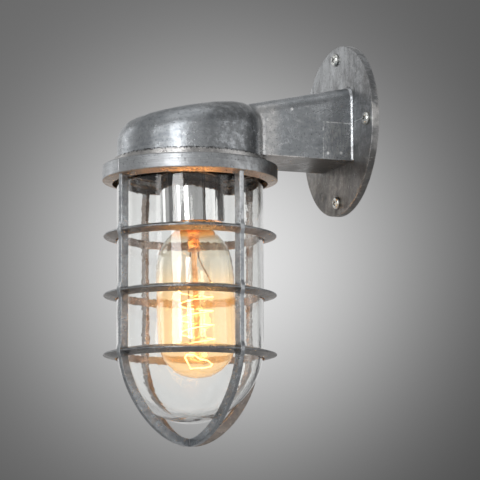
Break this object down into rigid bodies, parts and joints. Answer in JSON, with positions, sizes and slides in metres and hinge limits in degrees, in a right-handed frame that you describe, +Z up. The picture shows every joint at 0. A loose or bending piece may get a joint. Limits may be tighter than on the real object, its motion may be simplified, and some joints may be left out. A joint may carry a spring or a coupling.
{
  "type": "wall lantern",
  "caption": "Wall lantern: cast arm and hood on a round wall plate, screw-on guard cage over a clear glass jar, filament bulb in a spring-contact lamp holder.",
  "frame": {"origin": "centre of the wall plate's back face", "axes": "+Y into the wall, +Z up, the lantern hangs towards -Y"},
  "size_m": [0.12, 0.178, 0.2834],
  "materials": {
    "cast_metal": "raw casting, mottled and rubbed bright on its edges",
    "plate_metal": "darkened casting with brush marks",
    "screw_steel": "zinc plated",
    "chrome_shell": "polished",
    "brass": "bright",
    "contact_metal": "tinned",
    "ceramic": "white glaze",
    "rubber": "matt",
    "block_plastic": "moulded",
    "wire_brown": "insulation",
    "wire_blue": "insulation",
    "wire_green": "insulation",
    "jar_glass": "clear",
    "bulb_glass": "amber tint",
    "stem_glass": "clear",
    "cap_glass": "black glass bead",
    "lamp_wire": "oxidised wire",
    "filament": "glowing carbon filament"
  },
  "bodies": {
    "housing": {"wall_plate": "plate_metal", "arm_housing": "cast_metal", "wall_screws": "screw_steel", "arm_screws": "screw_steel", "cable_grommet": "rubber", "terminal_block": "block_plastic", "terminal_screws": "screw_steel", "block_screws": "screw_steel", "earth_screw": "screw_steel", "live_wire": "wire_brown", "neutral_wire": "wire_blue", "earth_wire": "wire_green", "holder_bridge": "screw_steel", "bridge_screws": "screw_steel", "nipple": "brass", "nipple_nuts": "screw_steel", "holder_shell": "chrome_shell", "holder_posts": "brass", "post_screws": "screw_steel", "holder_insulator": "ceramic", "holder_collar": "ceramic", "screw_shell": "brass", "contact_spring": "screw_steel", "glass_gasket": "rubber"},
    "glass": {"glass_jar": "jar_glass", "cushion_gasket": "rubber"},
    "cage": {"cage": "cast_metal"},
    "contact": {"contact_plunger": "brass"},
    "bulb_lift": {"cap_contact": "contact_metal"},
    "bulb": {"bulb_glass": "bulb_glass", "bulb_cap": "brass", "cap_insulator": "cap_glass", "bulb_stem": "stem_glass", "lead_wires": "lamp_wire", "support_wires": "lamp_wire", "filament": "filament"}
  },
  "joints": [
    {"name": "glass_drop", "type": "slide", "parent": "housing", "child": "glass", "axis": [0, 0, -1], "range_m": [0, 0.00226]},
    {"name": "guard_turn", "type": "hinge", "parent": "glass", "child": "cage", "pos_m": [0, -0.115, -0.0425], "axis": [0, 0, -1], "range_deg": [0, 540]},
    {"name": "contact_follow", "type": "slide", "parent": "housing", "child": "contact", "axis": [0, 0.0401, -0.9992], "range_m": [0, 0.00201], "deforming": ["contact_spring"]},
    {"name": "bulb_drop", "type": "slide", "parent": "housing", "child": "bulb_lift", "axis": [0, 0.0401, -0.9992], "range_m": [0, 0.01453]},
    {"name": "bulb_turn", "type": "hinge", "parent": "bulb_lift", "child": "bulb", "pos_m": [0, -0.115, -0.018], "axis": [0, 0.0401, -0.9992], "range_deg": [0, 1440]}
  ],
  "couplings": [
    {"joint": "glass_drop", "follows": "guard_turn", "m_per_rad": 0.00023873},
    {"joint": "bulb_drop", "follows": "bulb_turn", "m_per_rad": 0.00057757},
    {"joint": "contact_follow", "follows": "bulb_turn", "m_per_rad": 0.000079577}
  ]
}
